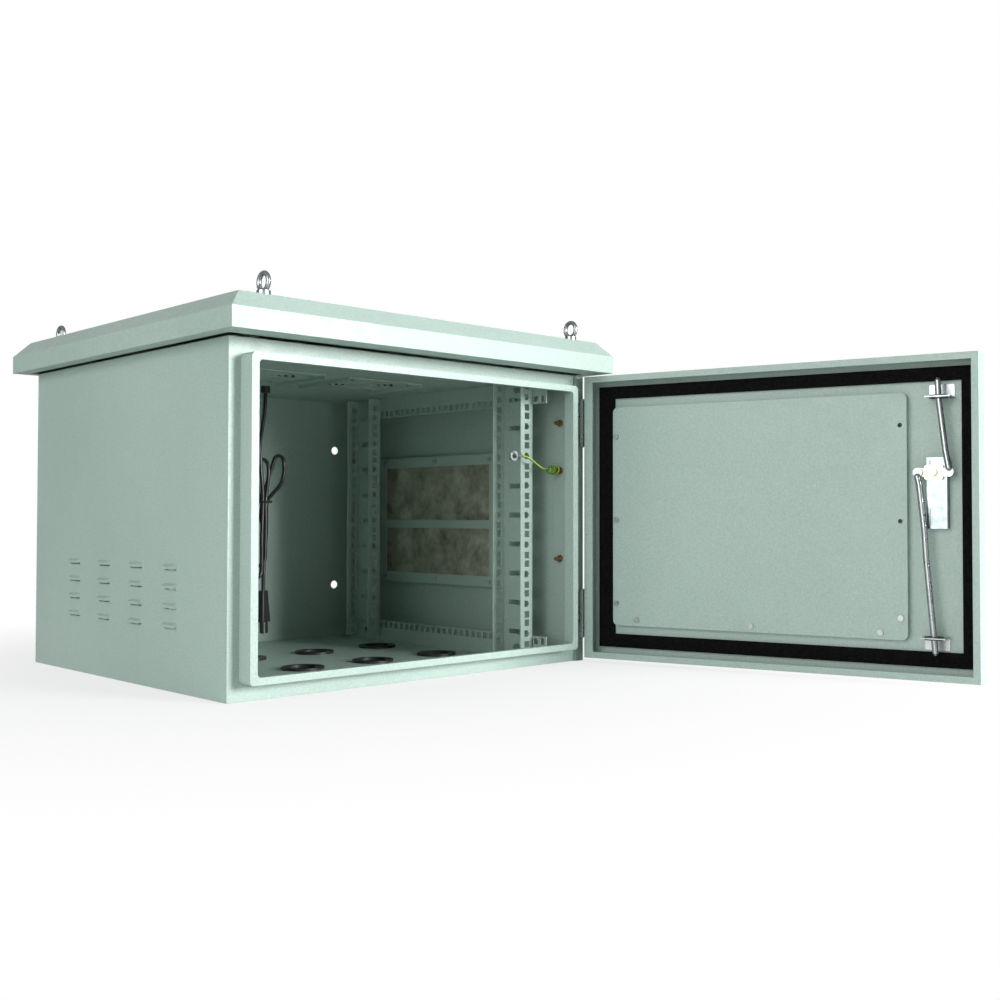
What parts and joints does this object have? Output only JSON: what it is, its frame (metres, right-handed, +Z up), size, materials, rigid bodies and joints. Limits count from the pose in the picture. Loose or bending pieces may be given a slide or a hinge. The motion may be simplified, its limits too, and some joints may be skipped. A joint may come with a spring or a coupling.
{
  "type": "outdoor rack cabinet",
  "caption": "Compact outdoor rack cabinet with an overhanging bevelled roof, an open side-hinged door with rod lock, perforated rack posts, louvred sides, ceiling fans and filter mats.",
  "frame": {"origin": "centre of the base's underside", "axes": "+Z up, the door opening faces -Y, the door's hinges are on the +X side"},
  "size_m": [0.7866, 1.1646, 0.507],
  "materials": {
    "powder_coat": "fine textured powder coat",
    "zinc": "bright zinc",
    "chrome": "polished",
    "yellow_zinc": "yellow zinc",
    "copper": "dull",
    "foam": "matte foam",
    "black_rubber": "matte",
    "black_plastic": "matte",
    "filter_mat": "fibrous",
    "earth_sleeve": "satin",
    "cord_sleeve": "satin"
  },
  "bodies": {
    "cabinet": {"back_panel": "powder_coat", "bottom_left_rail": "powder_coat", "bottom_right_rail": "powder_coat", "cable_grommets": "black_rubber", "ceiling_panel": "powder_coat", "cord_gland": "black_plastic", "cord_tie": "black_plastic", "earth_studs": "copper", "earth_wire": "earth_sleeve", "earth_wire_coil": "earth_sleeve", "eyebolts": "zinc", "fan_screws": "zinc", "filter_pads": "filter_mat", "filter_screws": "zinc", "floor_panel": "powder_coat", "front_bottom_bar": "powder_coat", "front_left_bar": "powder_coat", "front_left_post": "powder_coat", "front_right_bar": "powder_coat", "front_right_post": "powder_coat", "front_top_bar": "powder_coat", "hinge_body_leaves": "zinc", "hinge_pins": "zinc", "hinge_rail": "powder_coat", "left_fan_cover": "powder_coat", "left_fan_frame": "black_plastic", "left_filter_frame": "powder_coat", "left_side_panel": "powder_coat", "power_cord": "cord_sleeve", "power_cord_hank": "cord_sleeve", "power_plug": "black_plastic", "rail_bolts": "zinc", "rear_left_post": "powder_coat", "rear_right_post": "powder_coat", "right_fan_cover": "powder_coat", "right_fan_frame": "black_plastic", "right_filter_frame": "powder_coat", "right_side_panel": "powder_coat", "ring_terminal": "zinc", "roof_cap": "powder_coat", "roof_supports": "powder_coat", "top_left_rail": "powder_coat", "top_right_rail": "powder_coat"},
    "door": {"door_panel": "powder_coat", "door_gasket": "foam", "door_cover_plate": "powder_coat", "cover_screws": "zinc", "hinge_door_leaves": "zinc", "lock_housing": "chrome", "rod_guides": "zinc", "guide_bushes": "black_plastic"},
    "lock_cam": {"lock_cam": "yellow_zinc", "cam_screw": "zinc"},
    "lock_handle": {"lock_handle": "chrome"},
    "upper_rod": {"upper_rod": "zinc"},
    "lower_rod": {"lower_rod": "zinc"},
    "push_button": {"push_button": "chrome"},
    "left_fan_rotor": {"left_fan_rotor": "black_plastic"},
    "right_fan_rotor": {"right_fan_rotor": "black_plastic"}
  },
  "joints": [
    {"name": "door_hinge", "type": "hinge", "parent": "cabinet", "child": "door", "pos_m": [0.295, -0.2912, 0.215], "axis": [0, 0, 1], "range_deg": [-104.1, 16]},
    {"name": "lock_turn", "type": "hinge", "parent": "door", "child": "lock_cam", "pos_m": [0.42803, -0.796, 0.2745], "axis": [-0.9699, -0.2436, 0], "range_deg": [0, 90]},
    {"name": "handle_lift", "type": "hinge", "parent": "lock_cam", "child": "lock_handle", "pos_m": [0.45179, -0.78694, 0.2745], "axis": [0, 0, 1], "range_deg": [-15, 10]},
    {"name": "upper_rod_pivot", "type": "hinge", "parent": "lock_cam", "child": "upper_rod", "pos_m": [0.43291, -0.8154, 0.2745], "axis": [-0.9699, -0.2436, 0], "range_deg": [-102, 0]},
    {"name": "lower_rod_pivot", "type": "hinge", "parent": "lock_cam", "child": "lower_rod", "pos_m": [0.42316, -0.7766, 0.2745], "axis": [-0.9699, -0.2436, 0], "range_deg": [-96, 0]},
    {"name": "button_push", "type": "slide", "parent": "door", "child": "push_button", "axis": [-0.9699, -0.2436, 0], "range_m": [0, 0.003], "stiffness_N_per_m": 200},
    {"name": "left_fan_spin", "type": "hinge", "parent": "cabinet", "child": "left_fan_rotor", "pos_m": [-0.088, -0.012, 0.438], "axis": [0, 0, 1], "continuous": true},
    {"name": "right_fan_spin", "type": "hinge", "parent": "cabinet", "child": "right_fan_rotor", "pos_m": [0.088, -0.012, 0.438], "axis": [0, 0, 1], "continuous": true}
  ],
  "couplings": [
    {"joint": "upper_rod_pivot", "follows": "lock_turn", "ratio": -1.116},
    {"joint": "lower_rod_pivot", "follows": "lock_turn", "ratio": -1.049}
  ]
}
